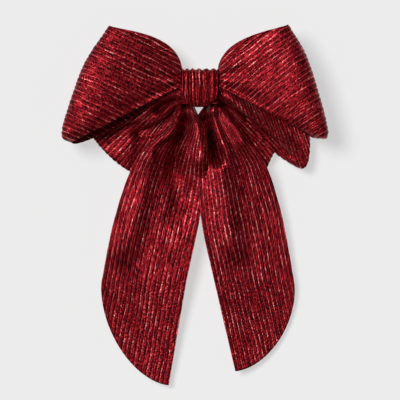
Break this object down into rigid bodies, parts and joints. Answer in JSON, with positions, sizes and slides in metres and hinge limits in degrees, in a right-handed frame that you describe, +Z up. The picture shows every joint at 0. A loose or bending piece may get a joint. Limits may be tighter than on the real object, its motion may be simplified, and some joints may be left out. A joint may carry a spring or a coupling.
{
  "type": "hair bow",
  "caption": "Large ribbed ribbon hair bow with layered loops, a wrapped knot and long rounded tails, held in the hair by a hinged clasp barrette.",
  "frame": {"origin": "centre of the flat back of the closed clasp arm, where it lies against the hair", "axes": "+Y out of the back of the clasp towards the head, +Z up as worn, +X to the right of a viewer who faces the bow's front"},
  "size_m": [0.1997, 0.0427, 0.2699],
  "materials": {
    "ribbed_cloth": "dark red crinkled ribbed cloth with a metallic yarn",
    "thread": "red sewing thread",
    "felt": "dark red felt",
    "plated_steel": "nickel-plated sheet steel",
    "spring_steel": "bright spring steel"
  },
  "bodies": {
    "bow": {"front_bow_ring": "ribbed_cloth", "rear_bow_ring": "ribbed_cloth", "knot_band": "ribbed_cloth", "tail_gather": "ribbed_cloth", "front_gathering_thread": "thread", "rear_gathering_thread": "thread", "felt_pad": "felt", "left_stitch": "thread", "right_stitch": "thread", "barrette_plate": "plated_steel", "hinge_pin": "plated_steel", "tension_strip": "spring_steel", "strip_rivet": "plated_steel", "catch_base": "spring_steel", "catch_rivet": "plated_steel"},
    "tails": {"left_tail": "ribbed_cloth", "right_tail": "ribbed_cloth"},
    "clasp": {"clasp_arm": "plated_steel"},
    "upper_tongue": {"upper_catch_tongue": "spring_steel"},
    "lower_tongue": {"lower_catch_tongue": "spring_steel"}
  },
  "joints": [
    {"name": "tails_lift", "type": "hinge", "parent": "bow", "child": "tails", "pos_m": [0, -0.01472, -0.01642], "axis": [-1, 0, 0], "range_deg": [0, 45]},
    {"name": "clasp_open", "type": "hinge", "parent": "bow", "child": "clasp", "pos_m": [-0.0375, -0.0015, 0], "axis": [0, 0, 1], "range_deg": [0, 75]},
    {"name": "upper_pinch", "type": "hinge", "parent": "bow", "child": "upper_tongue", "pos_m": [0.0365, -0.0077, 0.0012], "axis": [-1, 0, 0], "range_deg": [0, 5], "stiffness_Nm_per_rad": 0.05},
    {"name": "lower_pinch", "type": "hinge", "parent": "bow", "child": "lower_tongue", "pos_m": [0.0365, -0.0077, -0.0012], "axis": [1, 0, 0], "range_deg": [0, 5], "stiffness_Nm_per_rad": 0.05}
  ],
  "couplings": [
    {"joint": "lower_pinch", "follows": "upper_pinch", "ratio": 1}
  ]
}
